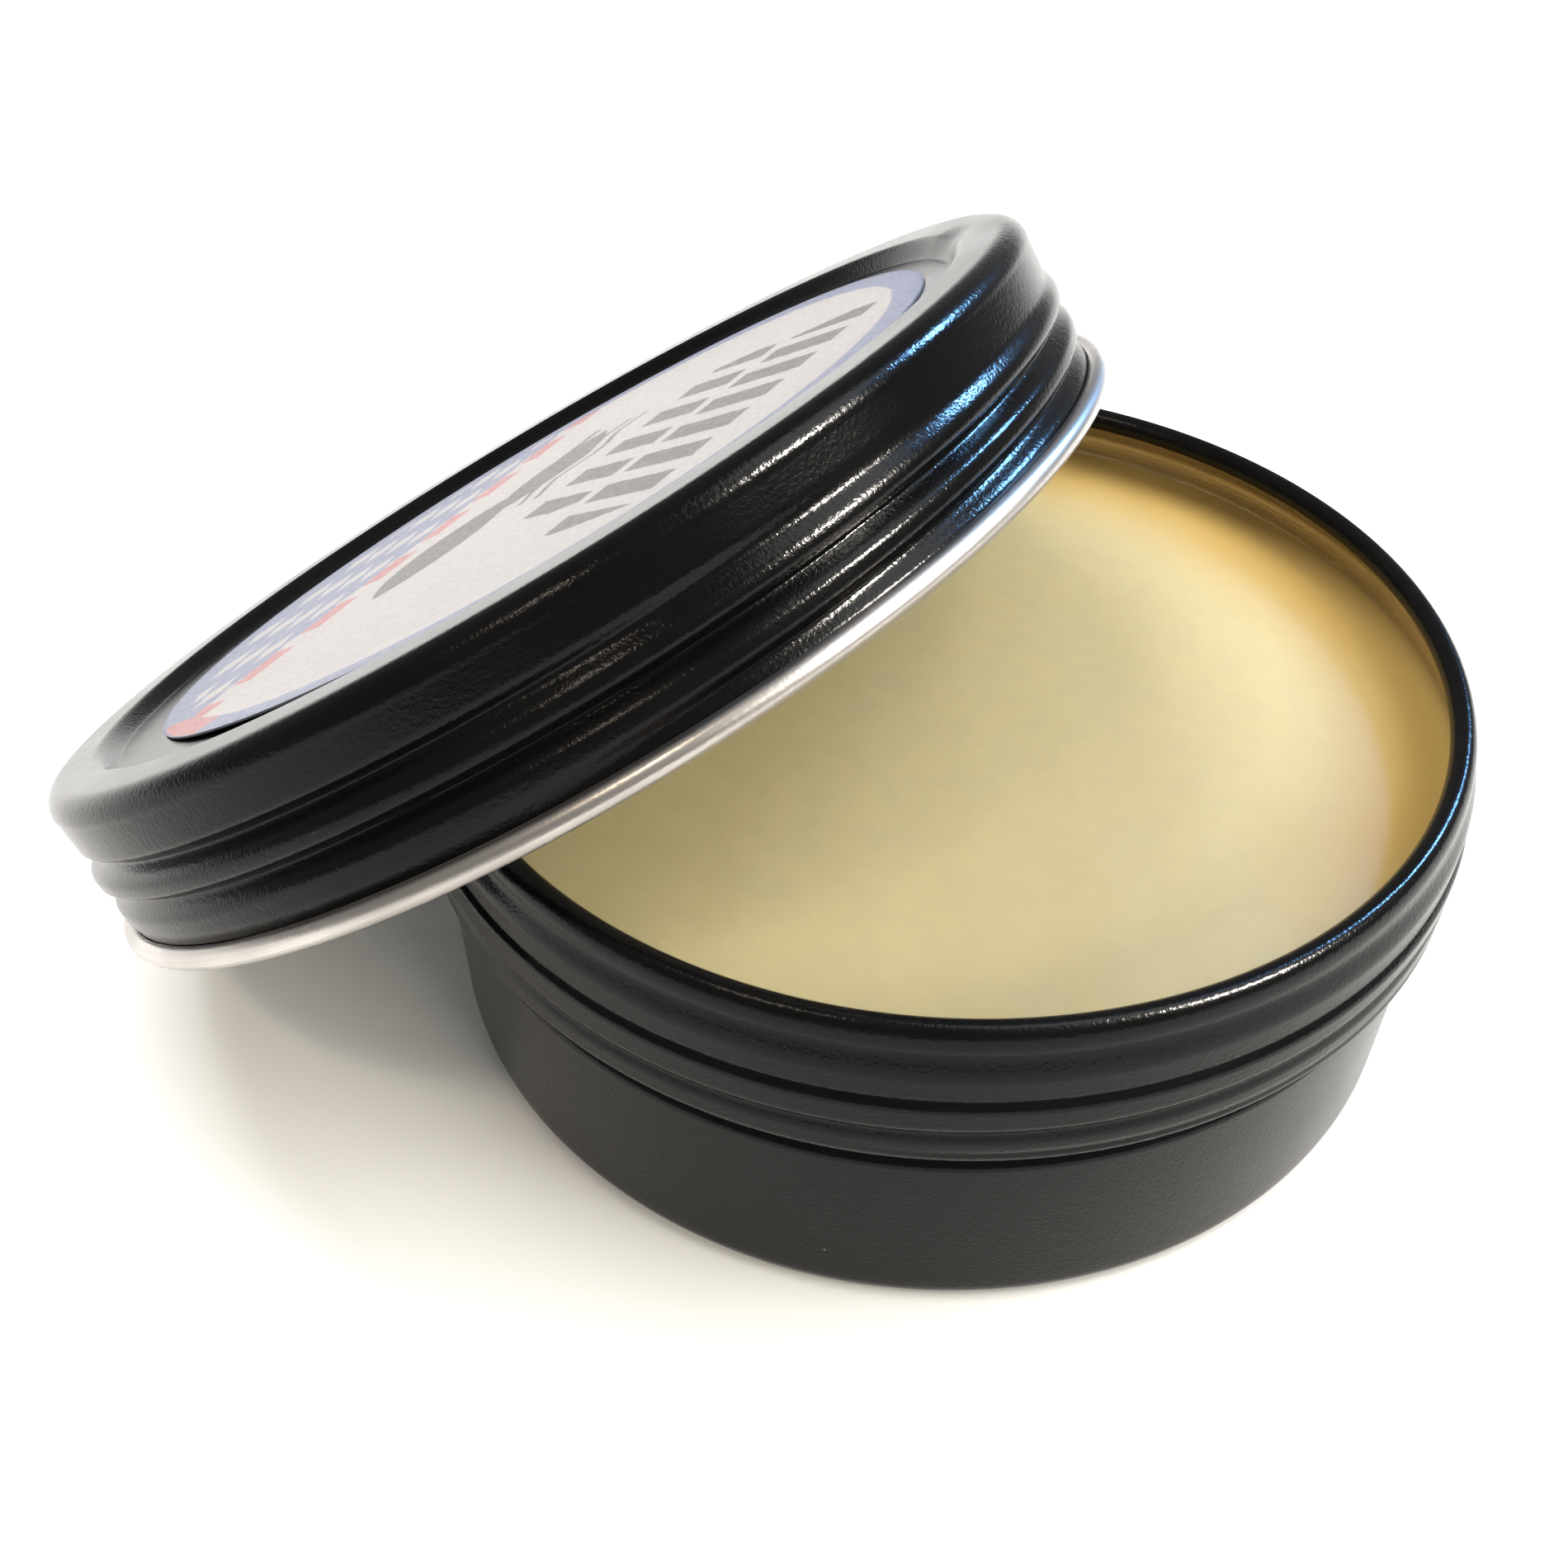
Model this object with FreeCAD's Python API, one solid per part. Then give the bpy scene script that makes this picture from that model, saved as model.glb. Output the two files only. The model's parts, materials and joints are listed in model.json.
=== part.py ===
import FreeCAD, Part
import math
import os

# Screw-top polish tin, open, with its lid leaning on the can.  Millimetres, +Z up.
# The origin is the centre of the can's flat bottom.  The lid leans towards -X:
# the low edge of its hem stands on the surface, and its inside rests on the can's rim.

# ---- sheet metal ----
sheet = 0.25                 # can and lid are pressed from one gauge
thread_end_cover = 4.0       # degrees by which a thread's skin runs past its hollow, at each end

# ---- can ----
can_height = 22.5            # to the top of the rolled rim
rim_radius = 30.3            # outside of the rolled rim
rim_roll = 0.73              # section radius of the roll, which turns inwards
neck_radius = 30.5           # outside, between the rim and the thread
can_radius = 30.7            # outside of the plain lower body
can_corner = 1.5             # rounded bottom edge
body_top = 12.2              # top of the plain body, just under a closed lid
thread_start = 14.6          # height of the thread's low end
thread_start_angle = 180.0   # where that end is, in degrees from +X
thread_pitch = 3.6
thread_turns = 1.1
thread_crest = 31.5          # outside of the rolled thread
thread_foot_half = 1.5       # half height of the thread where it leaves the wall
thread_crest_half = 0.6

# ---- polish ----
polish_level = 18.2

# ---- lid, in its own frame: the open side is at height 0 and the top ring at lid_depth ----
lid_depth = 10.0
hem_radius = 34.0            # outside of the curled hem
hem_roll = 0.64              # section radius of the curl, which turns outwards
lid_corner = 1.0             # rounded edge of the top
ring_inner = 29.2            # inside of the raised ring round the panel
panel_drop = 0.95            # the panel lies this far below the ring
panel_slope = 0.5            # the step down from ring to panel is this wide
lid_thread_start = 2.9
lid_thread_start_angle = 170.0
lid_thread_pitch = 3.6
lid_thread_turns = 0.95
lid_thread_inside = 31.25    # inside of the lid's thread, which hooks under the can's crest
lid_thread_mouth_half = 1.1
lid_thread_floor_half = 0.35

# ---- liner and label ----
liner_radius = 31.0          # wide enough for the rim to press on
liner_thick = 0.4
liner_gap = 0.02             # the loose liner lies just under the panel
label_radius = 26.7
label_thick = 0.12

# ---- how the lid leans ----
lid_tilt = 33.8              # degrees from level
lid_side_shift = -4.7        # along Y
rim_gap = 0.05               # between the liner and the rim

# ---- worked out from the values above ----
skirt_radius = hem_radius - 2 * hem_roll + sheet
panel_height = lid_depth - panel_drop
liner_height = panel_height - sheet - liner_gap - liner_thick
can_bottom_radius = can_radius - can_corner

ORIGIN = FreeCAD.Vector(0, 0, 0)
Y_AXIS = FreeCAD.Vector(0, 1, 0)
Z_AXIS = FreeCAD.Vector(0, 0, 1)


def point(radius, height):
    """A point of a half section, in the XZ plane."""
    return FreeCAD.Vector(radius, 0, height)


def line(a, b):
    return Part.LineSegment(a, b).toShape()


def arc(centre, radius, start, end):
    """An arc of a half section, by its start and end angles in degrees."""
    angles = [math.radians(angle) for angle in (start, 0.5 * (start + end), end)]
    ends = [centre + point(radius * math.cos(angle), radius * math.sin(angle)) for angle in angles]
    return Part.Arc(*ends).toShape()


def section(edges):
    """The half section that a closed run of edges bounds."""
    return Part.Face(Part.Wire(Part.__sortEdges__(edges)))


def turned(face):
    return face.revolve(ORIGIN, Z_AXIS, 360)


def curl(centre, roll, start, end):
    """A rolled edge: a strip of the sheet bent round a small hollow."""
    inner = roll - sheet
    corners = []
    for angle in (math.radians(start), math.radians(end)):
        direction = point(math.cos(angle), math.sin(angle))
        corners.append(line(centre + direction * inner, centre + direction * roll))
    return section([arc(centre, roll, start, end), arc(centre, inner, start, end)] + corners)


def helix_ridge(base_radius, tip_radius, base_half, tip_half, start, angle, pitch, turns, inset=0):
    """A ridge or groove of trapezoid section that winds round the Z axis, from a start at this angle.

    Both ends of it are drawn in by the inset.  Angles are in degrees."""
    start = start + pitch * inset / 360
    turns = turns - 2 * inset / 360
    path = Part.makeHelix(pitch, pitch * turns, base_radius)
    path.translate(FreeCAD.Vector(0, 0, start))
    corners = [
        FreeCAD.Vector(base_radius, 0, start - base_half),
        FreeCAD.Vector(tip_radius, 0, start - tip_half),
        FreeCAD.Vector(tip_radius, 0, start + tip_half),
        FreeCAD.Vector(base_radius, 0, start + base_half),
    ]
    profile = Part.makePolygon(corners + corners[:1])
    sweep = Part.BRepOffsetAPI.MakePipeShell(path)
    sweep.setFrenetMode(True)
    sweep.add(profile, False, False)
    sweep.build()
    sweep.makeSolid()
    ridge = sweep.shape()
    ridge.rotate(ORIGIN, Z_AXIS, angle + inset)
    return ridge


def can_thread_outside():
    return helix_ridge(
        neck_radius - 0.5 * sheet, thread_crest, thread_foot_half, thread_crest_half,
        thread_start, thread_start_angle, thread_pitch, thread_turns)


def can_thread_hollow():
    """The hollow behind the can's thread, one sheet thickness inside it."""
    return helix_ridge(
        neck_radius - 2 * sheet, thread_crest - sheet, thread_foot_half - 0.5 * sheet,
        thread_crest_half - 0.5 * sheet,
        thread_start, thread_start_angle, thread_pitch, thread_turns, thread_end_cover)


def make_can():
    neck_top = can_height - 2.6 * rim_roll
    rim_level = can_height - rim_roll
    neck_low = body_top + 0.4
    corner_centre = point(can_bottom_radius, can_corner)
    wall = turned(section([
        line(point(0, 0), point(can_bottom_radius, 0)),
        arc(corner_centre, can_corner, -90, 0),
        line(point(can_radius, can_corner), point(can_radius, body_top)),
        line(point(can_radius, body_top), point(neck_radius, neck_low)),
        line(point(neck_radius, neck_low), point(neck_radius, neck_top)),
        line(point(neck_radius, neck_top), point(rim_radius, rim_level)),
        line(point(rim_radius, rim_level), point(rim_radius - sheet, rim_level)),
        line(point(rim_radius - sheet, rim_level), point(neck_radius - sheet, neck_top)),
        line(point(neck_radius - sheet, neck_top), point(neck_radius - sheet, neck_low)),
        line(point(neck_radius - sheet, neck_low), point(can_radius - sheet, body_top)),
        line(point(can_radius - sheet, body_top), point(can_radius - sheet, can_corner)),
        arc(corner_centre, can_corner - sheet, 0, -90),
        line(point(can_bottom_radius, sheet), point(0, sheet)),
        line(point(0, sheet), point(0, 0)),
    ]))
    rim = turned(curl(point(rim_radius - rim_roll, rim_level), rim_roll, 0, 300))
    can = wall.fuse(rim)
    can = can.fuse(can_thread_outside())
    can = can.cut(can_thread_hollow())
    return can.removeSplitter()


def make_polish():
    """The wax, cast in the can up to the polish level."""
    inside_radius = neck_radius - sheet
    corner = can_corner - sheet
    corner_centre = point(inside_radius - corner, can_corner)
    return turned(section([
        line(point(0, sheet), point(inside_radius - corner, sheet)),
        arc(corner_centre, corner, -90, 0),
        line(point(inside_radius, can_corner), point(inside_radius, polish_level)),
        line(point(inside_radius, polish_level), point(0, polish_level)),
        line(point(0, polish_level), point(0, sheet)),
    ]))


def make_lid_shell():
    outer_top = skirt_radius - lid_corner
    panel_radius = ring_inner - panel_slope
    ceiling = lid_depth - sheet
    fold = 0.4 * sheet           # the inside of the step lies this far outside its outside
    wall = turned(section([
        line(point(skirt_radius - sheet, hem_roll), point(skirt_radius, hem_roll)),
        line(point(skirt_radius, hem_roll), point(skirt_radius, lid_depth - lid_corner)),
        arc(point(outer_top, lid_depth - lid_corner), lid_corner, 0, 90),
        line(point(outer_top, lid_depth), point(ring_inner, lid_depth)),
        line(point(ring_inner, lid_depth), point(panel_radius, panel_height)),
        line(point(panel_radius, panel_height), point(0, panel_height)),
        line(point(0, panel_height), point(0, panel_height - sheet)),
        line(point(0, panel_height - sheet), point(panel_radius + fold, panel_height - sheet)),
        line(point(panel_radius + fold, panel_height - sheet), point(ring_inner + fold, ceiling)),
        line(point(ring_inner + fold, ceiling), point(outer_top, ceiling)),
        arc(point(outer_top, lid_depth - lid_corner), lid_corner - sheet, 90, 0),
        line(point(skirt_radius - sheet, lid_depth - lid_corner), point(skirt_radius - sheet, hem_roll)),
    ]))
    hem = turned(curl(point(hem_radius - hem_roll, hem_roll), hem_roll, 180, 450))
    bead = helix_ridge(
        skirt_radius - 0.5 * sheet, lid_thread_inside,
        lid_thread_mouth_half + sheet, lid_thread_floor_half + sheet,
        lid_thread_start, lid_thread_start_angle, lid_thread_pitch, lid_thread_turns)
    groove = helix_ridge(
        skirt_radius + 0.3, lid_thread_inside + sheet,
        lid_thread_mouth_half + 0.1, lid_thread_floor_half,
        lid_thread_start, lid_thread_start_angle, lid_thread_pitch, lid_thread_turns, thread_end_cover)
    shell = wall.fuse(hem)
    shell = shell.fuse(bead)
    shell = shell.cut(groove)
    return shell.removeSplitter()


def disc(radius, low, thick):
    return Part.makeCylinder(radius, thick, point(0, low), Z_AXIS)


def lean(shape):
    """Move a lid piece from its own frame to where the lid leans."""
    tilt = math.radians(lid_tilt)
    hem_centre = hem_radius - hem_roll
    height = hem_roll + hem_centre * math.sin(tilt) - hem_roll * math.cos(tilt)
    rim_x = -(rim_radius - rim_roll)
    rim_z = can_height - rim_roll
    reach = liner_height - rim_gap - rim_roll
    across = (reach - (rim_z - height) * math.cos(tilt)) / math.sin(tilt)
    placed = shape.copy()
    placed.rotate(ORIGIN, Y_AXIS, -lid_tilt)
    placed.translate(FreeCAD.Vector(rim_x + across, lid_side_shift, height))
    return placed


def build():
    return {
        "base_can": make_can(),
        "polish": make_polish(),
        "lid_shell": lean(make_lid_shell()),
        "lid_liner": lean(disc(liner_radius, liner_height, liner_thick)),
        "lid_label": lean(disc(label_radius, panel_height, label_thick)),
    }


os.makedirs("parts", exist_ok=True)
for node, shape in build().items():
    shape.exportStep("parts/" + node + ".step")
    box = shape.BoundBox
    print(node, "solids", len(shape.Solids), "valid", shape.isValid(), "volume", round(shape.Volume, 2),
          "box", [round(value, 2) for value in (box.XMin, box.YMin, box.ZMin, box.XMax, box.YMax, box.ZMax)])
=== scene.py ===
import json
import math

import bpy
from mathutils import Matrix, Vector


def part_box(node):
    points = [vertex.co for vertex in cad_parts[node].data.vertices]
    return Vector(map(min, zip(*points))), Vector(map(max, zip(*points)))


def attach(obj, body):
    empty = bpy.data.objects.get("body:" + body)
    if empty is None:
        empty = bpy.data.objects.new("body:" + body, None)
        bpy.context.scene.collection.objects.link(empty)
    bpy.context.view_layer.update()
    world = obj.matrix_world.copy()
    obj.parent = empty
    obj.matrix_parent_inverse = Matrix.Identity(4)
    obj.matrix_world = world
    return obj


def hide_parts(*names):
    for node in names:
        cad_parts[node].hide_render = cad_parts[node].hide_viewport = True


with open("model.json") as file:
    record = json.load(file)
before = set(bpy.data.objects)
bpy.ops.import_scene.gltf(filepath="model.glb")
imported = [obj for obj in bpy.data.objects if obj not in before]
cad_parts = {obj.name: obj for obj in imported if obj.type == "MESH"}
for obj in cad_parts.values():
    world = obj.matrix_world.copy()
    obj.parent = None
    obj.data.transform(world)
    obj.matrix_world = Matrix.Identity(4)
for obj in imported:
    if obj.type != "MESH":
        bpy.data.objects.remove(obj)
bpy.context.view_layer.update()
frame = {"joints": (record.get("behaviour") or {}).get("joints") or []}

# Screw-top polish tin: a lacquered can full of wax, and its lid leaning on the rim.
# Meshes are worked out in millimetres and scaled to metres when they are made.

MM = 0.001

# ---- sheet metal ----
SHEET = 0.25
SEGMENTS = 360                # points round every turned mesh
SHARP_ANGLE = 50              # degrees; shallower folds are shaded smooth

# ---- can, outside radii and heights from its flat bottom ----
CAN_BODY = 30.15
CAN_CORNER = 1.5
CAN_BAND = 30.75              # the plain band under the rim
CAN_MIDDLE = 30.97            # the bead between the two grooves
CAN_NECK = 30.28              # where the wall draws in under the rim
RIM_RADIUS = 30.3
RIM_ROLL = 0.73
RIM_SHOULDER = 1.2            # the roll's outside starts this far below its top
RIM_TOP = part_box("base_can")[1][2] / MM
GROOVE_LOW = 12.85            # the broad groove over the body
GROOVE_LOW_BELOW = 0.9        # it reaches this far below that height
GROOVE_LOW_ABOVE = 1.1
GROOVE_LOW_EDGE = 0.7
GROOVE_LOW_DEPTH = 0.52
BEAD_FOOT = 0.1               # the bead rises between these heights over the broad groove
BEAD_CROWN = 1.4
GROOVE_HIGH = 18.0            # the narrow groove over the bead
GROOVE_HIGH_HALF = 0.36
GROOVE_HIGH_DEPTH = 0.20
BAND_FOOT = 0.2               # the bead turns into the band from this far below the narrow groove
BAND_CROWN = 0.3              # to this far above it
DIP = 15.9                    # a shallow dip along the bead, which wanders up and down
DIP_WANDER = 0.35
DIP_TURN = 60                 # degrees
DIP_HALF = 0.6
DIP_DEPTH = 0.20
CREASE = 14.55                # a faint crease under the dip, along part of the turn
CREASE_HALF = 0.35
CREASE_DEPTH = 0.07
CREASE_TURNS = (-75, 35)      # degrees
CREASE_FADE = 25
NECK_FOOT = 19.6              # the wall draws in between these heights
NECK_TOP = 21.2

# ---- wax ----
WAX_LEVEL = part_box("polish")[1][2] / MM
WAX_RADIUS = 30.54            # just into the wall
WAX_SAG = 0.10                # the middle has sunk this far as it set
WAX_BOWL = 0.05               # and it rises this much towards the wall
MENISCUS = 0.08
MENISCUS_WIDTH = 1.8

# ---- lid, in its own frame: open side at height 0, top ring at LID_DEPTH ----
LID_DEPTH = 10.0
SKIRT = 32.97
LID_CORNER = 1.3
RING_INNER = 29.2
PANEL = 9.05
HEM_RADIUS = 34.0
HEM_ROLL = 0.64
LABEL_RADIUS = 26.2
LABEL_OFFSET = (0.4, 0.5)     # stuck on by hand, so not quite in the middle
LABEL_THICK = 0.12
LABEL_GAP = 0.01              # between the panel and the label
LIFT = 0.20                   # how far the label has come unstuck
LIFT_TURNS = (236, 318)       # degrees round the lid
LIFT_FADE = 35
LIFT_REACH = 3.5
LINER_RADIUS = 31.0
LINER_LOW = 8.38
LINER_THICK = 0.4
LINER_EDGE = 0.12             # its lower edge is rounded
PRINT_RADIUS = 29.5           # the ring that the can's rim has pressed into it
PRINT_HALF = 0.75
PRINT_DEPTH = 0.13
LID_TURNS_START = -70.0       # degrees round the lid where its pressed thread begins
LID_TURNS = 2.2
LID_PITCH = 2.2
LID_GROOVE_START = 1.75
LID_GROOVE = 0.74             # depth
LID_GROOVE_ABOVE = 0.72       # half width over its lowest line, where it is steep
LID_GROOVE_BELOW = 1.05       # and under it, where it is easy
THREAD_FADE_IN = 70           # degrees
THREAD_FADE_OUT = 100
SKIRT_BEAD = 33.25            # the crowns between the thread's grooves
SKIRT_WALL = 32.93            # the plain wall above them
SKIRT_STEP = 6.15             # where the one turns into the other, which wanders up and down
STEP_WANDER = 0.35
STEP_TURN = 10                # degrees
STEP_BELOW = 0.9
STEP_ABOVE = 0.2
HEM_NIP = 0.15                # the skirt draws in over the hem, between these heights
NIP_FOOT = 1.2
NIP_TOP = 2.1
PANEL_EDGE = 28.3             # the step from panel to ring lies between these radii
RING_EDGE = 29.6
# Knocks in the ring's inner edge: turn and half width in degrees, place from RING_INNER,
# half width and depth.
DENTS = ((251, 7, -0.6, 1.5, 0.22), (39, 9, 0.2, 1.6, 0.28))


def smooth(low, high, value):
    """0 below low, 1 above high, and an S-curve between."""
    t = min(max((value - low) / (high - low), 0.0), 1.0)
    return t * t * (3 - 2 * t)


def bump(centre, half, value):
    """1 at the centre, falling smoothly to 0 at half on each side."""
    return 1 - smooth(0.0, half, abs(value - centre))


def band(low, high, edge, value):
    """1 between low and high, with soft edges of this width inside them."""
    return smooth(low, low + edge, value) * (1 - smooth(high - edge, high, value))


# ---------------------------------------------------------------- frame

def joint(name):
    return next(item for item in frame["joints"] if item["name"] == name)


def lid_frame():
    """The lid's own frame: its axis is Z, and X points to its high side."""
    turn = joint("lid_turn")
    axis = Vector(turn["axis"]).normalized()
    side = Vector((0, 1, 0))
    up_side = side.cross(axis).normalized()
    matrix = Matrix((up_side, side, axis)).transposed().to_4x4()
    matrix.translation = Vector(turn["pos_m"])
    return matrix


LID = lid_frame()


# ---------------------------------------------------------------- meshes

def make_object(name, points, faces, materials, slots=None, matrix=Matrix.Identity(4)):
    mesh = bpy.data.meshes.new(name)
    mesh.from_pydata([matrix @ (Vector(p) * MM) for p in points], [], faces)
    for material in materials:
        mesh.materials.append(material)
    if slots:
        mesh.polygons.foreach_set("material_index", slots)
    mesh.polygons.foreach_set("use_smooth", [True] * len(mesh.polygons))
    mesh.update()
    mesh.set_sharp_from_angle(angle=math.radians(SHARP_ANGLE))
    piece = bpy.data.objects.new(name, mesh)
    bpy.context.collection.objects.link(piece)
    return piece


def offset_path(path, distance):
    """The path moved sideways by this distance, to its left."""
    moved = []
    for i, (radius, height) in enumerate(path):
        before = path[max(i - 1, 0)]
        after = path[min(i + 1, len(path) - 1)]
        dr, dz = after[0] - before[0], after[1] - before[1]
        length = math.hypot(dr, dz)
        moved.append((radius - dz / length * distance, height + dr / length * distance))
    return moved


def spun_sheet(name, path_at, outer_side, materials, matrix=Matrix.Identity(4)):
    """A pressed sheet: the section that path_at gives, turned round Z, at constant thickness.

    path_at(angle) gives the middle line of the sheet, from the centre outwards.  The outer
    face takes the first material, and the inner face and the cut edge take the second."""
    points, faces, slots, rings = [], [], [], []
    for step in range(SEGMENTS):
        angle = 2 * math.pi * step / SEGMENTS
        path = path_at(angle)
        c, s = math.cos(angle), math.sin(angle)
        sides = []
        for sign in (outer_side, -outer_side):
            line = offset_path(path, sign * 0.5 * SHEET)
            start = len(points)
            points.extend((r * c, r * s, z) for r, z in line[1:])
            sides.append(range(start, len(points)))
        rings.append(sides)
    centres = []
    for sign in (outer_side, -outer_side):
        height = offset_path(path_at(0.0), sign * 0.5 * SHEET)[0][1]
        centres.append(len(points))
        points.append((0.0, 0.0, height))
    for step in range(SEGMENTS):
        here, there = rings[step], rings[(step + 1) % SEGMENTS]
        for side in (0, 1):
            a, b = here[side], there[side]
            flip = (side == 0) == (outer_side > 0)
            first = (centres[side], a[0], b[0])
            faces.append(first if flip else first[::-1])
            slots.append(side)
            for i in range(len(a) - 1):
                quad = (a[i], a[i + 1], b[i + 1], b[i])
                faces.append(quad if flip else quad[::-1])
                slots.append(side)
        edge = (here[0][-1], here[1][-1], there[1][-1], there[0][-1])
        faces.append(edge if outer_side > 0 else edge[::-1])
        slots.append(1)
    return make_object(name, points, faces, materials, slots, matrix)


def arc_points(centre, radius, start, end, count):
    """Points of an arc of a section; angles in degrees."""
    points = []
    for i in range(count + 1):
        angle = math.radians(start + (end - start) * i / count)
        points.append((centre[0] + radius * math.cos(angle), centre[1] + radius * math.sin(angle)))
    return points


def steps(low, high, size):
    """Even steps of about this size, with both ends."""
    count = max(1, round((high - low) / size))
    return [low + (high - low) * i / count for i in range(count + 1)]


# ---------------------------------------------------------------- can

def can_wall(height, angle):
    """The can's outside radius at this height and angle, from its body to its neck."""
    turn = math.degrees(angle)
    radius = CAN_BODY
    radius -= GROOVE_LOW_DEPTH * band(
        GROOVE_LOW - GROOVE_LOW_BELOW, GROOVE_LOW + GROOVE_LOW_ABOVE, GROOVE_LOW_EDGE, height)
    radius += (CAN_MIDDLE - CAN_BODY) * smooth(GROOVE_LOW + BEAD_FOOT, GROOVE_LOW + BEAD_CROWN, height)
    radius += (CAN_BAND - CAN_MIDDLE) * smooth(GROOVE_HIGH - BAND_FOOT, GROOVE_HIGH + BAND_CROWN, height)
    radius -= GROOVE_HIGH_DEPTH * bump(GROOVE_HIGH, GROOVE_HIGH_HALF, height)
    dip = DIP + DIP_WANDER * math.sin(math.radians(turn + DIP_TURN))
    radius -= DIP_DEPTH * bump(dip, DIP_HALF, height)
    along = band(*CREASE_TURNS, CREASE_FADE, (turn + 180) % 360 - 180)
    radius -= CREASE_DEPTH * bump(CREASE, CREASE_HALF, height) * along
    radius -= (CAN_BAND - CAN_NECK) * smooth(NECK_FOOT, NECK_TOP, height)
    return radius


def can_path(angle):
    """The middle line of the can's sheet: bottom, corner, wall, and the rim rolled inwards."""
    half = 0.5 * SHEET
    path = [(r, half) for r in (0.0, 6.0, 12.0, 18.0, 22.0, 25.0, 27.0)]
    corner = (CAN_BODY - CAN_CORNER, CAN_CORNER)
    path += arc_points(corner, CAN_CORNER - half, -90, 0, 10)
    path += [(CAN_BODY - half, z) for z in (2.2, 3.5, 5.5, 8.0, 10.0)]
    path += [(can_wall(z, angle) - half, z) for z in steps(11.2, 21.15, 0.13)]
    roll = (RIM_RADIUS - RIM_ROLL, RIM_TOP - RIM_ROLL)
    inside = RIM_ROLL - half
    shoulder = RIM_SHOULDER - half
    for turn in steps(0, 84, 6):
        across = inside * math.cos(math.radians(turn))
        rise = math.sin(math.radians(turn)) * shoulder
        path.append((roll[0] + across, RIM_TOP - RIM_SHOULDER + rise))
    path += arc_points(roll, inside, 90, 285, 22)
    return path


# ---------------------------------------------------------------- lid

def groove(rise):
    """A groove's depth from 0 to 1, by the height above its lowest line."""
    half = LID_GROOVE_ABOVE if rise > 0 else LID_GROOVE_BELOW
    return 1 - smooth(0.0, half, abs(rise))


def lid_thread(height, turn):
    """How far the lid's thread presses in at this height, with the turn in degrees."""
    depth = 0.0
    first = LID_TURNS_START % 360
    last = 360 * LID_TURNS
    for lap in range(math.ceil(LID_TURNS) + 1):
        run = turn - first + 360 * lap
        if 0 <= run <= last:
            centre = LID_GROOVE_START + LID_PITCH * run / 360
            ends = smooth(0, THREAD_FADE_IN, run) * (1 - smooth(last - THREAD_FADE_OUT, last, run))
            depth = max(depth, ends * groove(height - centre))
    return LID_GROOVE * depth


def skirt_radius(height, turn):
    """The skirt's outside radius at this height, with the turn in degrees."""
    step = SKIRT_STEP + STEP_WANDER * math.sin(math.radians(turn + STEP_TURN))
    rise = smooth(step - STEP_BELOW, step + STEP_ABOVE, height)
    radius = SKIRT_BEAD - (SKIRT_BEAD - SKIRT_WALL) * rise
    radius -= HEM_NIP * (1 - smooth(NIP_FOOT, NIP_TOP, height))
    return radius - lid_thread(height, turn)


def dented(radius, turn, height):
    """The height with the small knocks in the raised ring taken off."""
    knock = 0.0
    for at, spread, place, half, depth in DENTS:
        knock += bump(at, spread, turn) * bump(RING_INNER + place, half, radius) * depth
    return height - knock


def lid_path(angle):
    """The middle line of the lid's sheet: panel, step, ring, corner, skirt and hem."""
    half = 0.5 * SHEET
    turn = math.degrees(angle) % 360
    top = LID_DEPTH - half
    low = PANEL - half
    wave = 0.02 * math.sin(3 * angle) + 0.015 * math.sin(5 * angle + 1)
    path = [(r, low) for r in (0.0, 5.0, 10.0, 15.0, 20.0, 24.0, 26.2, 27.4, 28.0)]
    for r in steps(28.25, 29.75, 0.1):
        path.append((r, dented(r, turn, low + (top - low) * smooth(PANEL_EDGE, RING_EDGE, r + wave))))
    for r in steps(30.0, SKIRT - LID_CORNER - 0.2, 0.35):
        path.append((r, dented(r, turn, top)))
    corner = (SKIRT - LID_CORNER, LID_DEPTH - LID_CORNER)
    path += arc_points(corner, LID_CORNER - half, 90, 4, 12)
    walls = steps(1.15, 8.6, 0.13)
    path += [(skirt_radius(z, turn) - half, z) for z in reversed(walls)]
    curl = (HEM_RADIUS - HEM_ROLL, HEM_ROLL)
    path += arc_points(curl, HEM_ROLL - half, 182, 470, 34)
    return path


def label_height(radius, turn):
    """The label's top, which has come unstuck a little along one edge."""
    lift = LIFT * band(*LIFT_TURNS, LIFT_FADE, turn)
    lift *= smooth(LABEL_RADIUS - LIFT_REACH, LABEL_RADIUS, radius)
    return PANEL + LABEL_THICK + lift


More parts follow.
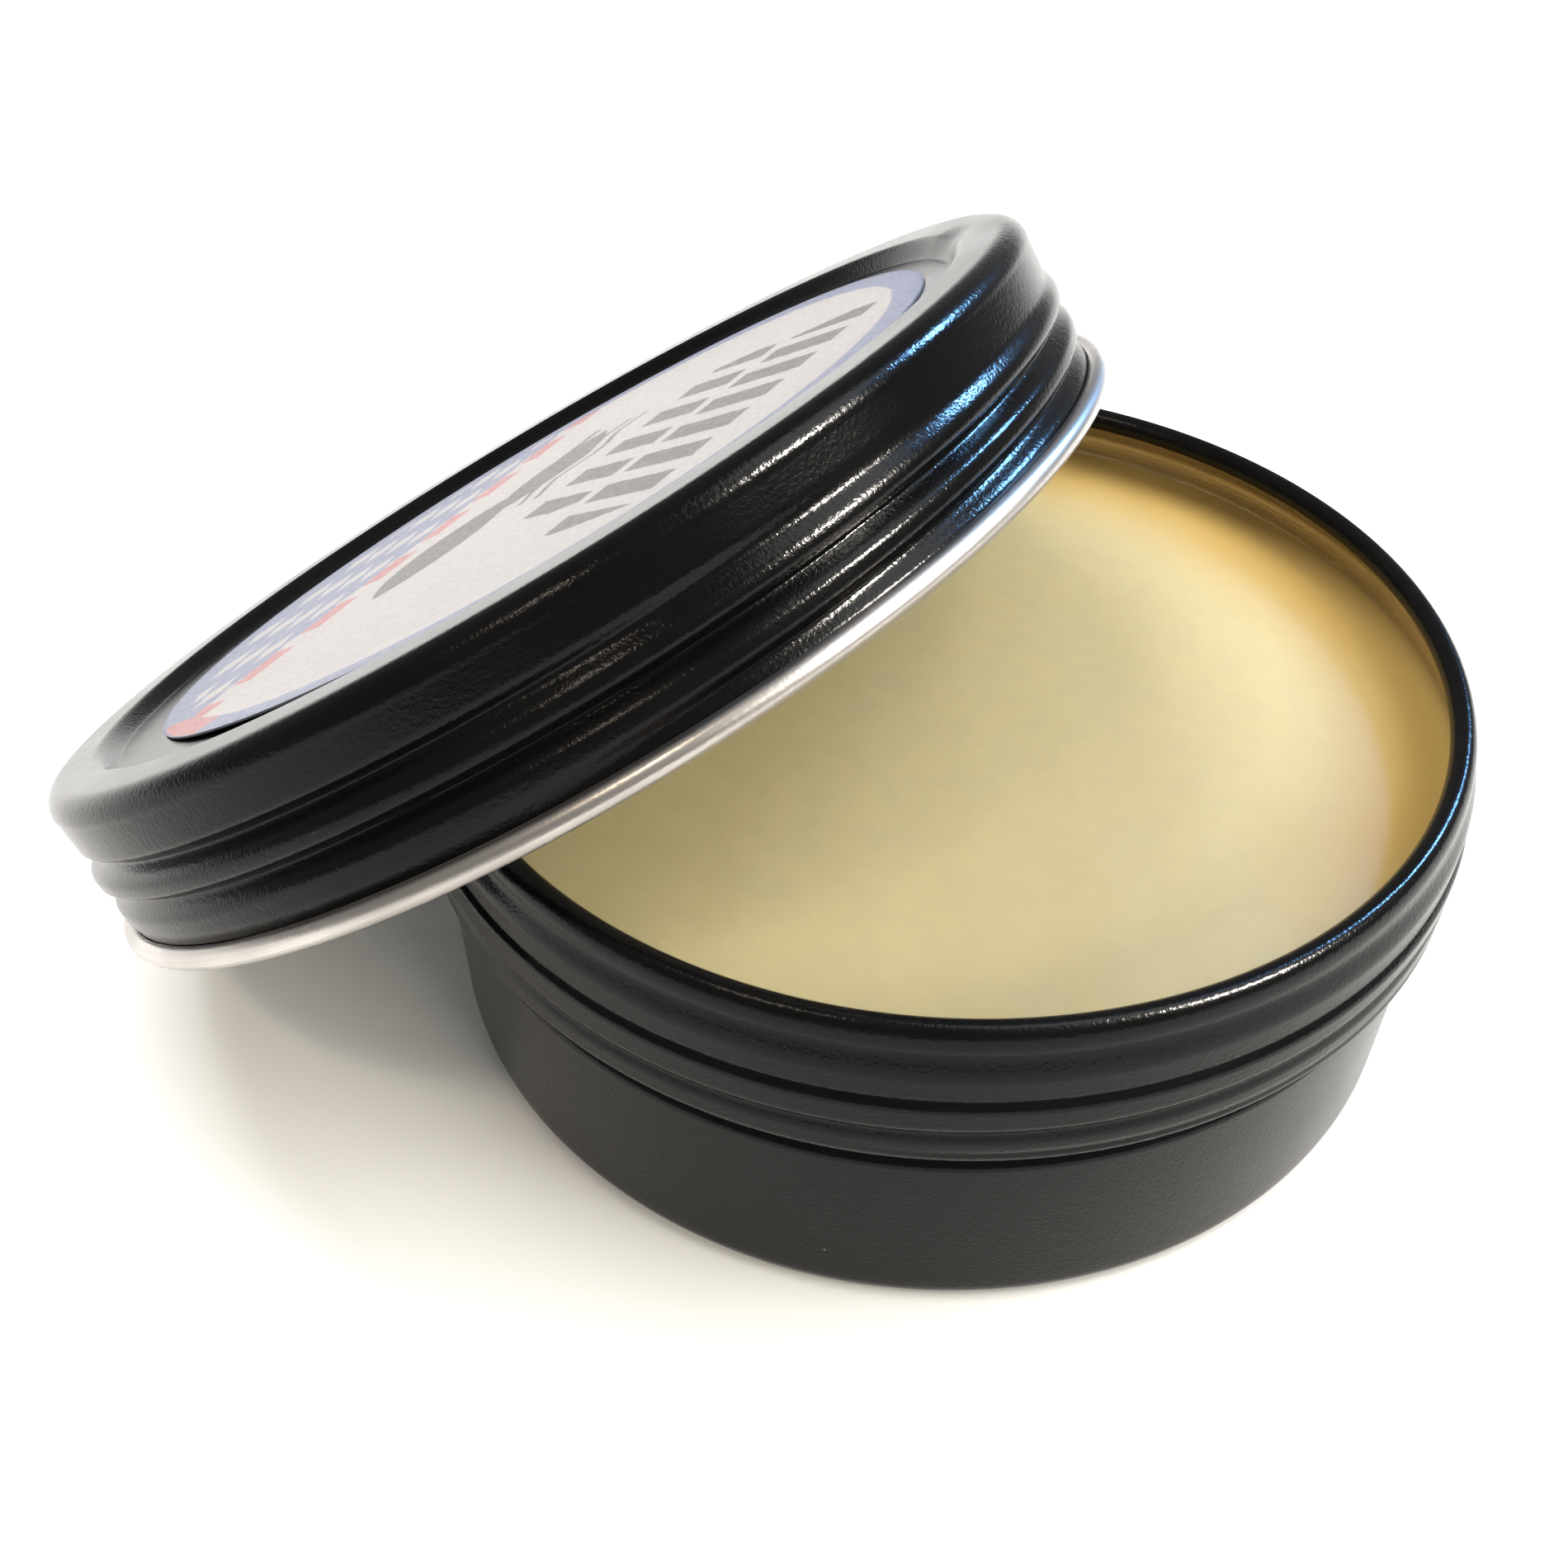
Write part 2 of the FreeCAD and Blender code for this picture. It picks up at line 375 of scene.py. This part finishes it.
def make_label(material, paper):
    """The label, a thin disc on the panel: printed above, paper below and on its edge."""
    radii = [0.0] + steps(2.0, LABEL_RADIUS - 4.0, 1.9)
    radii += steps(LABEL_RADIUS - LIFT_REACH, LABEL_RADIUS, 0.25)
    points, faces = [], []
    shift_x, shift_y = LABEL_OFFSET
    count = SEGMENTS
    for upper in (0, 1):
        points.append((shift_x, shift_y, PANEL + LABEL_GAP + LABEL_THICK * upper))
        for r in radii[1:]:
            for k in range(count):
                angle = 2 * math.pi * k / count
                z = label_height(r, math.degrees(angle)) - (0 if upper else LABEL_THICK - LABEL_GAP)
                points.append((r * math.cos(angle) + shift_x, r * math.sin(angle) + shift_y, z))
    rows = len(radii) - 1
    layer = 1 + rows * count
    for upper in (0, 1):
        base = upper * layer
        for k in range(count):
            n = (k + 1) % count
            tri = (base, base + 1 + k, base + 1 + n)
            faces.append(tri if upper else tri[::-1])
            for i in range(rows - 1):
                a, b = base + 1 + i * count, base + 1 + (i + 1) * count
                quad = (a + k, b + k, b + n, a + n)
                faces.append(quad if upper else quad[::-1])
    slots = [1] * (count * rows) + [0] * (count * rows)
    last = 1 + (rows - 1) * count
    for k in range(count):
        n = (k + 1) % count
        faces.append((last + k, last + n, layer + last + n, layer + last + k))
        slots.append(1)
    return make_object("label", points, faces, [material, paper], slots, LID)


def make_liner(material):
    """The foam disc, with the ring that the can's rim has pressed into it."""
    radii = [0.0] + steps(3.0, 28.0, 2.5) + steps(28.3, LINER_RADIUS - LINER_EDGE, 0.2)
    low = [(r, LINER_LOW + PRINT_DEPTH * bump(PRINT_RADIUS, PRINT_HALF, r)) for r in radii]
    side = arc_points((LINER_RADIUS - LINER_EDGE, LINER_LOW + LINER_EDGE), LINER_EDGE, -70, 0, 4)
    high = [(r, LINER_LOW + LINER_THICK) for r in reversed(radii)]
    section = low + side + [(LINER_RADIUS, LINER_LOW + LINER_THICK - LINER_EDGE)] + high
    points, faces = [(0, 0, section[0][1])], []
    inner = section[1:-1]
    for k in range(SEGMENTS):
        angle = 2 * math.pi * k / SEGMENTS
        points.extend((r * math.cos(angle), r * math.sin(angle), z) for r, z in inner)
    points.append((0, 0, section[-1][1]))
    size = len(inner)
    for k in range(SEGMENTS):
        a, b = 1 + k * size, 1 + (k + 1) % SEGMENTS * size
        faces.append((0, b, a))
        for i in range(size - 1):
            faces.append((a + i, b + i, b + i + 1, a + i + 1))
        faces.append((a + size - 1, b + size - 1, len(points) - 1))
    return make_object("liner", points, faces, [material], None, LID)


def make_wax(material):
    """The wax, with a slight hollow in the middle and a meniscus up the wall."""
    radii = [0.0] + steps(1.0, 26.0, 0.5) + steps(26.3, WAX_RADIUS, 0.2)
    bottom = SHEET + 0.05

    def top(r, angle):
        x, y = r * math.cos(angle), r * math.sin(angle)
        z = WAX_LEVEL - WAX_SAG + WAX_BOWL * (r / WAX_RADIUS) ** 2
        z += MENISCUS * smooth(WAX_RADIUS - MENISCUS_WIDTH, WAX_RADIUS, r) ** 2
        z += 0.015 * math.sin(0.31 * x + 1.0) * math.sin(0.27 * y + 0.4)
        z += 0.010 * math.sin(0.9 * x + 0.5 * y)
        return z

    side = [(29.8, WAX_LEVEL - 0.35), (29.2, WAX_LEVEL - 0.9), (29.2, 2.0)]
    side += [(28.9, 1.0), (28.2, bottom), (14.0, bottom)]
    points, faces = [(0, 0, top(0, 0))], []
    size = len(radii) - 1 + len(side)
    for k in range(SEGMENTS):
        angle = 2 * math.pi * k / SEGMENTS
        c, s = math.cos(angle), math.sin(angle)
        points.extend((r * c, r * s, top(r, angle)) for r in radii[1:])
        points.extend((r * c, r * s, z) for r, z in side)
    points.append((0, 0, bottom))
    for k in range(SEGMENTS):
        a, b = 1 + k * size, 1 + (k + 1) % SEGMENTS * size
        faces.append((0, a, b))
        for i in range(size - 1):
            faces.append((a + i, a + i + 1, b + i + 1, b + i))
        faces.append((a + size - 1, len(points) - 1, b + size - 1))
    return make_object("wax", points, faces, [material])


# ---------------------------------------------------------------- materials

class Nodes:
    """Short calls for building one material's node tree."""

    def __init__(self, name, own_frame=None):
        """With a frame, places are in that frame: its origin and its axes."""
        self.material = bpy.data.materials.new(name)
        self.material.use_nodes = True
        self.tree = self.material.node_tree
        self.shader = self.tree.nodes["Principled BSDF"]
        self.place = self.tree.nodes.new("ShaderNodeTexCoord").outputs["Object"]
        if own_frame:
            mapping = self.tree.nodes.new("ShaderNodeMapping")
            mapping.vector_type = "TEXTURE"
            self.link(self.place, mapping.inputs["Vector"])
            mapping.inputs["Location"].default_value = own_frame.translation
            mapping.inputs["Rotation"].default_value = own_frame.to_euler()
            self.place = mapping.outputs["Vector"]

    def link(self, source, target):
        self.tree.links.new(source, target)

    def set(self, **values):
        for name, value in values.items():
            self.shader.inputs[name.replace("_", " ")].default_value = value

    def feed(self, socket, value):
        """Put a number, a colour or another node's output on this socket."""
        if isinstance(value, bpy.types.NodeSocket):
            self.link(value, socket)
        else:
            socket.default_value = value

    def math(self, operation, a, b=0.0):
        node = self.tree.nodes.new("ShaderNodeMath")
        node.operation = operation
        for socket, value in zip(node.inputs, (a, b)):
            self.feed(socket, value)
        return node.outputs[0]

    def xyz(self, vector):
        node = self.tree.nodes.new("ShaderNodeSeparateXYZ")
        self.link(vector, node.inputs[0])
        return node.outputs

    def vector(self, x, y, z):
        node = self.tree.nodes.new("ShaderNodeCombineXYZ")
        for socket, value in zip(node.inputs, (x, y, z)):
            self.feed(socket, value)
        return node.outputs[0]

    def noise(self, scale, detail=3.0, rough=0.55, vector=None):
        node = self.tree.nodes.new("ShaderNodeTexNoise")
        self.link(vector or self.place, node.inputs["Vector"])
        node.inputs["Scale"].default_value = scale
        node.inputs["Detail"].default_value = detail
        node.inputs["Roughness"].default_value = rough
        return node.outputs["Fac"]

    def cells(self, scale, vector=None):
        """The distance to the nearest of many scattered points."""
        node = self.tree.nodes.new("ShaderNodeTexVoronoi")
        self.link(vector or self.place, node.inputs["Vector"])
        node.inputs["Scale"].default_value = scale
        return node.outputs["Distance"]

    def remap(self, value, low, high, to_low=0.0, to_high=1.0, kind="SMOOTHSTEP"):
        node = self.tree.nodes.new("ShaderNodeMapRange")
        node.interpolation_type = kind
        self.feed(node.inputs["Value"], value)
        node.inputs["From Min"].default_value = low
        node.inputs["From Max"].default_value = high
        node.inputs["To Min"].default_value = to_low
        node.inputs["To Max"].default_value = to_high
        return node.outputs["Result"]

    def mix(self, factor, a, b):
        node = self.tree.nodes.new("ShaderNodeMix")
        node.data_type = "RGBA"
        self.feed(node.inputs[0], factor)
        self.feed(node.inputs[6], a if isinstance(a, bpy.types.NodeSocket) else (*a, 1))
        self.feed(node.inputs[7], b if isinstance(b, bpy.types.NodeSocket) else (*b, 1))
        return node.outputs[2]

    def bump(self, height, distance, normal=None):
        node = self.tree.nodes.new("ShaderNodeBump")
        node.inputs["Strength"].default_value = 1.0
        node.inputs["Distance"].default_value = distance
        self.link(height, node.inputs["Height"])
        if normal:
            self.link(normal, node.inputs["Normal"])
        return node.outputs["Normal"]

    def length(self, x, y):
        squares = self.math("ADD", self.math("MULTIPLY", x, x), self.math("MULTIPLY", y, y))
        return self.math("SQRT", squares)

    def radius(self):
        """The distance from the piece's own axis."""
        x, y, _ = self.xyz(self.place)
        return self.length(x, y)

    def spin(self):
        """A place that doesn't change round the axis, for marks that a lathe would leave."""
        _, _, z = self.xyz(self.place)
        return self.vector(self.radius(), 0.0, z)

    def output(self, **sockets):
        """Link these outputs to the shader, and give the material back."""
        for name, value in sockets.items():
            self.link(value, self.shader.inputs[name.replace("_", " ")])
        return self.material


def scratches(n):
    """A few short hairline marks round the wall: 1 on a mark, 0 elsewhere."""
    x, y, z = n.xyz(n.place)
    place = n.vector(n.math("MULTIPLY", x, 0.16), n.math("MULTIPLY", y, 0.16), z)
    line = n.remap(n.cells(900, place), 0.0, 0.07, 1.0, 0.0)
    return n.math("MULTIPLY", line, n.remap(n.noise(170, 1), 0.61, 0.66))


def dust(n, scale, size, seen):
    """Sparse specks; seen runs from 0 to 1, and more is fewer."""
    speck = n.remap(n.cells(scale), 0.0, size, 1.0, 0.0)
    return n.math("MULTIPLY", speck, n.remap(n.noise(0.6 * scale, 1), seen, seen + 0.04))


def lacquer(name, own_frame=None):
    """Satin black lacquer, sprayed thin over the pressed sheet, with a fine grain.

    Its IOR is below a real lacquer's, so that the pale floor doesn't turn the black grey."""
    n = Nodes(name, own_frame)
    cloud = n.noise(120, 3)
    grain = n.noise(4600, 2, 0.6)
    marks = scratches(n)
    specks = dust(n, 330, 0.04, 0.62)
    deep, faded = (0.0016, 0.0016, 0.0018), (0.0034, 0.0033, 0.0034)
    scraped, dusty = (0.20, 0.20, 0.21), (0.32, 0.31, 0.30)
    colour = n.mix(cloud, deep, faded)
    colour = n.mix(n.math("MULTIPLY", marks, 0.15), colour, scraped)
    colour = n.mix(n.math("MULTIPLY", specks, 0.55), colour, dusty)
    rough = n.remap(cloud, 0.3, 0.7, 0.17, 0.22)
    normal = n.bump(n.noise(900, 2), 0.8e-5)
    normal = n.bump(grain, 2.4e-5, normal)
    n.set(IOR=1.23)
    return n.output(Base_Color=colour, Roughness=rough, Normal=normal)


def bare_metal(name, tint, own_frame=None):
    """Bare aluminium, with the fine rings of the spinning tool and a dull bloom."""
    n = Nodes(name, own_frame)
    rings = n.noise(3800, 3, 0.6, n.spin())
    bloom = n.noise(90, 2)
    grain = n.noise(5200, 2)
    dull = tuple(0.72 * value for value in tint)
    dark = tuple(0.5 * value for value in tint)
    colour = n.mix(n.remap(bloom, 0.35, 0.7), tint, dull)
    colour = n.mix(n.remap(rings, 0.35, 0.65, 0.0, 0.35), colour, dark)
    rough = n.remap(n.math("ADD", bloom, n.math("MULTIPLY", rings, 0.5)), 0.4, 1.0, 0.20, 0.36)
    normal = n.bump(rings, 1.6e-5)
    normal = n.bump(grain, 1.0e-5, normal)
    n.set(Metallic=1.0)
    return n.output(Base_Color=colour, Roughness=rough, Normal=normal)


def wax_material():
    """Pale yellow wax, with a painted shade: a dull yellow-brown crescent along the wall at the back right,
    standing in for the rim's shadow lit from the gold wall.
    """
    n = Nodes("wax")
    radius = n.radius()
    cloud = n.noise(55, 3)
    mottle = n.noise(420, 4)
    x, y, _ = n.xyz(n.place)
    # painted shade: the mask below grows towards the wall, at the back and more towards the right, where
    # the rim shades the wax
    ragged = n.math("MULTIPLY", n.math("SUBTRACT", cloud, 0.5), 0.006)
    reach = n.math("ADD", radius, ragged)
    reach = n.math("ADD", reach, n.math("MULTIPLY", x, 0.06))
    edge = n.math("MULTIPLY", n.remap(reach, 0.0200, 0.0290), n.remap(y, -0.014, 0.002))
    pale, paler = (0.418, 0.360, 0.192), (0.430, 0.372, 0.200)
    shade_ochre, bright, brown = (0.36, 0.235, 0.068), (0.70, 0.66, 0.50), (0.25, 0.20, 0.10)
    colour = n.mix(n.remap(mottle, 0.35, 0.65), paler, pale)
    # painted shade: yellow-brown towards the wall, for the rim's shadow with light from the gold inside
    # wall
    colour = n.mix(n.math("MULTIPLY", edge, 0.95), colour, shade_ochre)
    colour = n.mix(n.math("MULTIPLY", dust(n, 420, 0.04, 0.63), 0.6), colour, bright)
    colour = n.mix(n.math("MULTIPLY", dust(n, 300, 0.05, 0.64), 0.5), colour, brown)
    rough = n.remap(mottle, 0.3, 0.7, 0.42, 0.55)
    normal = n.bump(n.noise(160, 3), 2.5e-5)
    normal = n.bump(n.noise(2600, 2), 0.8e-5, normal)
    n.set(IOR=1.28, Subsurface_Weight=0.2, Subsurface_Scale=0.0035)
    n.set(Subsurface_Radius=(0.8, 0.65, 0.35))
    return n.output(Base_Color=colour, Roughness=rough, Normal=normal)


def foam_material():
    """White closed-cell foam sheet."""
    n = Nodes("foam", LID)
    cells = n.cells(2600)
    cloud = n.noise(180, 3)
    colour = n.mix(cloud, (0.80, 0.80, 0.78), (0.70, 0.70, 0.67))
    colour = n.mix(n.remap(cells, 0.3, 0.9, 0.0, 0.35), colour, (0.60, 0.60, 0.58))
    rough = n.remap(cloud, 0.3, 0.7, 0.75, 0.9)
    normal = n.bump(cells, 2.5e-5)
    return n.output(Base_Color=colour, Roughness=rough, Normal=normal)


def paper_material():
    """The label's cut edge and glued back."""
    n = Nodes("paper_back")
    fibre = n.noise(1500, 4)
    colour = n.mix(fibre, (0.10, 0.11, 0.14), (0.26, 0.27, 0.30))
    normal = n.bump(fibre, 1e-5)
    rough = n.remap(fibre, 0.3, 0.7, 0.7, 0.85)
    return n.output(Base_Color=colour, Roughness=rough, Normal=normal)


def label_material():
    """Coated paper, printed with a plain border, a patterned segment, a leaf and two rows of bars.

    The print is a generic pattern of the script's own, worked out in the label's plane, in metres."""
    soft = 0.00006                            # half the width of a printed edge
    print_edge, strip_edge = -0.0100, -0.0122 # the patterned segment, and its pink strip
    lozenge_x, lozenge_y = 0.0026, 0.0052     # the lozenges' spacing
    break_pitch = 0.0061                      # the strip's breaks
    stem = ((-0.0046, -0.0038), (-0.0100, 0.0120))
    ripple_ends = (-0.0015, 0.0110)
    border = 0.0242                           # the border's inside radius
    cut_edge = 0.00015                        # the dark line where the label was cut
    n = Nodes("label_print", LID)
    wobble = n.math("MULTIPLY", n.math("SUBTRACT", n.noise(900, 2), 0.5), 0.00022)
    x, y, _ = n.xyz(n.place)
    x = n.math("ADD", x, wobble)
    y = n.math("ADD", y, wobble)

    def above(value, limit):
        return n.remap(value, limit - soft, limit + soft, kind="LINEAR")

    def inside(value, low, high):
        return n.math("MULTIPLY", above(value, low), n.math("SUBTRACT", 1.0, above(value, high)))

    def both(a, b):
        return n.math("MULTIPLY", a, b)

    def either(a, b):
        return n.math("MAXIMUM", a, b)

    def repeat(value, pitch):
        """The place within a pattern's repeat, from 0 to 1."""
        return n.math("FRACT", n.math("DIVIDE", value, pitch))

    def away(cx, cy):
        """The distance from a point of the plane."""
        return n.length(n.math("SUBTRACT", x, cx), n.math("SUBTRACT", y, cy))

    def bars(low, high, start, end, pitch, duty, lean):
        """A row of slanted bars: between two values of x, from one y to another."""
        along = n.math("ADD", y, n.math("MULTIPLY", x, lean))
        on = n.math("LESS_THAN", repeat(along, pitch), duty)
        return both(on, both(inside(x, low, high), inside(y, start, end)))

    def leaf(cx, cy, size, offset):
        """The lens where two discs overlap."""
        first = n.math("SUBTRACT", 1.0, above(away(cx - offset, cy), size))
        second = n.math("SUBTRACT", 1.0, above(away(cx + offset, cy), size))
        return both(first, second)

    grain = n.noise(2600, 3)
    tone = n.noise(70, 2)
    field = n.mix(tone, (0.325, 0.302, 0.295), (0.305, 0.284, 0.278))
    blue = n.mix(grain, (0.13, 0.143, 0.21), (0.155, 0.168, 0.235))
    pink = n.mix(grain, (0.29, 0.11, 0.11), (0.32, 0.14, 0.135))
    grey = n.mix(grain, (0.080, 0.076, 0.074), (0.10, 0.096, 0.094))

    # A segment on the lid's low side, blue with rows of pale lozenges, edged in pink.
    slanted = n.math("ADD", x, n.math("MULTIPLY", y, 0.10))
    segment = n.math("SUBTRACT", 1.0, above(slanted, print_edge))
    strip = inside(slanted, strip_edge, print_edge)
    off_x = n.math("ABSOLUTE", n.math("SUBTRACT", repeat(slanted, lozenge_x), 0.5))
    off_y = n.math("ABSOLUTE", n.math("SUBTRACT", repeat(y, lozenge_y), 0.5))
    lozenge = n.math("LESS_THAN", n.math("ADD", off_x, off_y), 0.40)
    lozenge = both(lozenge, n.math("SUBTRACT", 1.0, above(slanted, strip_edge)))
    colour = n.mix(segment, field, blue)
    colour = n.mix(both(lozenge, segment), colour, field)
    unbroken = n.math("LESS_THAN", repeat(y, break_pitch), 0.66)
    colour = n.mix(strip, colour, field)
    colour = n.mix(both(strip, unbroken), colour, pink)

    # Two leaves on a stem in the middle, and two rows of slanted bars on the high side.
    mark = leaf(-0.0046, -0.0042, 0.0085, 0.0054)
    mark = either(mark, leaf(-0.0024, 0.0050, 0.0075, 0.0048))
    mark = either(mark, both(inside(x, *stem[0]), inside(y, *stem[1])))
    ripple = n.math("MULTIPLY", n.math("SINE", n.math("MULTIPLY", y, 900.0)), 0.0005)
    waved = n.math("ADD", x, ripple)
    for line in (-0.0002, 0.0014):
        mark = either(mark, both(inside(waved, line - 0.0003, line + 0.0003), inside(y, *ripple_ends)))
    rows = either(
        bars(0.0125, 0.0200, -0.0120, 0.0140, 0.0036, 0.60, 0.35),
        bars(0.0050, 0.0112, -0.0070, 0.0150, 0.0040, 0.55, 0.35))
    mark = either(mark, rows)
    colour = n.mix(mark, colour, grey)

    # The border, pink where the strip runs into it, with a thin darker line at its outside.
    radius = away(LABEL_OFFSET[0] * MM, LABEL_OFFSET[1] * MM)
    ring = above(radius, border)
    below = n.math("SUBTRACT", 0.0, y)
    tip = both(ring, both(inside(below, 0.0218, 0.0262), inside(x, strip_edge, -0.0040)))
    colour = n.mix(ring, colour, blue)
    colour = n.mix(tip, colour, pink)
    colour = n.mix(above(radius, LABEL_RADIUS * MM - cut_edge), colour, (0.09, 0.11, 0.18))

    rough = n.remap(grain, 0.3, 0.7, 0.38, 0.50)
    normal = n.bump(grain, 0.9e-5)
    normal = n.bump(n.noise(150, 2), 5e-5, normal)
    return n.output(Base_Color=colour, Roughness=rough, Normal=normal)


def floor_material():
    """Plain pale paper."""
    n = Nodes("floor")
    colour = n.mix(n.noise(3, 2), (0.90, 0.90, 0.90), (0.87, 0.87, 0.87))
    n.set(Roughness=0.8, IOR=1.2)
    return n.output(Base_Color=colour)


# ---------------------------------------------------------------- the object

def build_pieces():
    black_can = lacquer("can_lacquer")
    black_lid = lacquer("lid_lacquer", LID)
    bare = bare_metal("bare_aluminium", (0.54, 0.51, 0.48), LID)
    gold = bare_metal("can_inside", (0.72, 0.64, 0.50))

    can = spun_sheet("can_shell", can_path, -1, [black_can, gold])
    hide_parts("base_can")
    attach(can, "can")

    wax = make_wax(wax_material())
    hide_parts("polish")
    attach(wax, "can")

    lid = spun_sheet("lid_pressing", lid_path, 1, [black_lid, bare], LID)
    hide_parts("lid_shell")
    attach(lid, "lid")

    liner = make_liner(foam_material())
    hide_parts("lid_liner")
    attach(liner, "liner")

    label = make_label(label_material(), paper_material())
    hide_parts("lid_label")
    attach(label, "lid")


# ---------------------------------------------------------------- studio

LIGHT_TARGET = Vector((-0.008, -0.004, 0.020))
CAMERA_PLACE = Vector((0.02982, -0.06978, 0.07797))
CAMERA_AZIMUTH = 120.0        # degrees, the way it looks
CAMERA_PITCH = -41.87
CAMERA_LENS = 36.48           # millimetres, on a 36 mm sensor
FLOOR_HALF = 2.5
FLOOR_LEVEL = -0.00005        # just under the tin, so that no faces coincide


def direction(azimuth, elevation):
    """A unit vector, by degrees from +X and degrees above level."""
    a, e = math.radians(azimuth), math.radians(elevation)
    return Vector((math.cos(a) * math.cos(e), math.sin(a) * math.cos(e), math.sin(e)))


def area_light(name, azimuth, elevation, distance, size, power, colour, diffuse=True, gloss=True):
    """A soft light aimed at the tin.

    With diffuse off it shows only in reflections, and with gloss off it doesn't show in them."""
    data = bpy.data.lights.new(name, "AREA")
    data.shape = "RECTANGLE"
    data.size, data.size_y = size
    data.energy = power
    data.color = colour
    light = bpy.data.objects.new(name, data)
    light.location = LIGHT_TARGET + direction(azimuth, elevation) * distance
    light.rotation_euler = direction(azimuth, elevation).to_track_quat("Z", "Y").to_euler()
    light.visible_camera = False
    light.visible_diffuse = diffuse
    light.visible_glossy = gloss
    bpy.context.collection.objects.link(light)


def make_floor():
    half = FLOOR_HALF
    corners = [(x, y, FLOOR_LEVEL) for x, y in ((-half, -half), (half, -half), (half, half), (-half, half))]
    mesh = bpy.data.meshes.new("floor")
    mesh.from_pydata(corners, [], [(0, 1, 2, 3)])
    mesh.materials.append(floor_material())
    floor = bpy.data.objects.new("floor", mesh)
    bpy.context.collection.objects.link(floor)


def make_world(scene):
    """An even pale room."""
    world = bpy.data.worlds.new("studio")
    world.use_nodes = True
    room = world.node_tree.nodes["Background"]
    room.inputs["Color"].default_value = (1.0, 0.99, 0.965, 1)
    room.inputs["Strength"].default_value = 0.34
    scene.world = world


def make_studio():
    scene = bpy.context.scene
    scene.view_settings.view_transform = "Standard"
    make_world(scene)
    white, warm, blue = (1.0, 1.0, 1.0), (1.0, 0.94, 0.84), (0.20, 0.50, 1.0)
    wide, narrow, small = (0.42, 0.42), (0.30, 0.10), (0.07, 0.07)
    area_light("key", 15, 52, 0.60, wide, 2.7, (1.0, 0.985, 0.96), gloss=False)
    area_light("soft_top", 40, 70, 0.90, (0.50, 0.50), 3.0, white)
    area_light("fill_back", 150, 45, 0.70, (0.40, 0.40), 6.0, (1.0, 0.99, 0.98), gloss=False)
    area_light("under_lid", -12, 27, 0.50, narrow, 1.5, (1.0, 0.93, 0.76), gloss=False)
    area_light("key_spark", 8, 45, 0.60, small, 18.0, warm, diffuse=False)
    area_light("cool_spark", 67, 39, 0.60, small, 9.0, blue, diffuse=False)
    area_light("warm_top", -103, 58, 0.70, (0.12, 0.05), 0.8, (1.0, 0.84, 0.66))


def make_camera():
    """The camera stands to the right of the tin and looks down across it."""
    data = bpy.data.cameras.new("camera")
    data.sensor_width = 36.0
    data.lens = CAMERA_LENS
    data.clip_start = 0.005
    camera = bpy.data.objects.new("camera", data)
    camera.location = CAMERA_PLACE
    look = direction(CAMERA_AZIMUTH, CAMERA_PITCH)
    camera.rotation_euler = look.to_track_quat("-Z", "Y").to_euler()
    bpy.context.collection.objects.link(camera)
    bpy.context.scene.camera = camera


make_camera()
build_pieces()
make_floor()
make_studio()
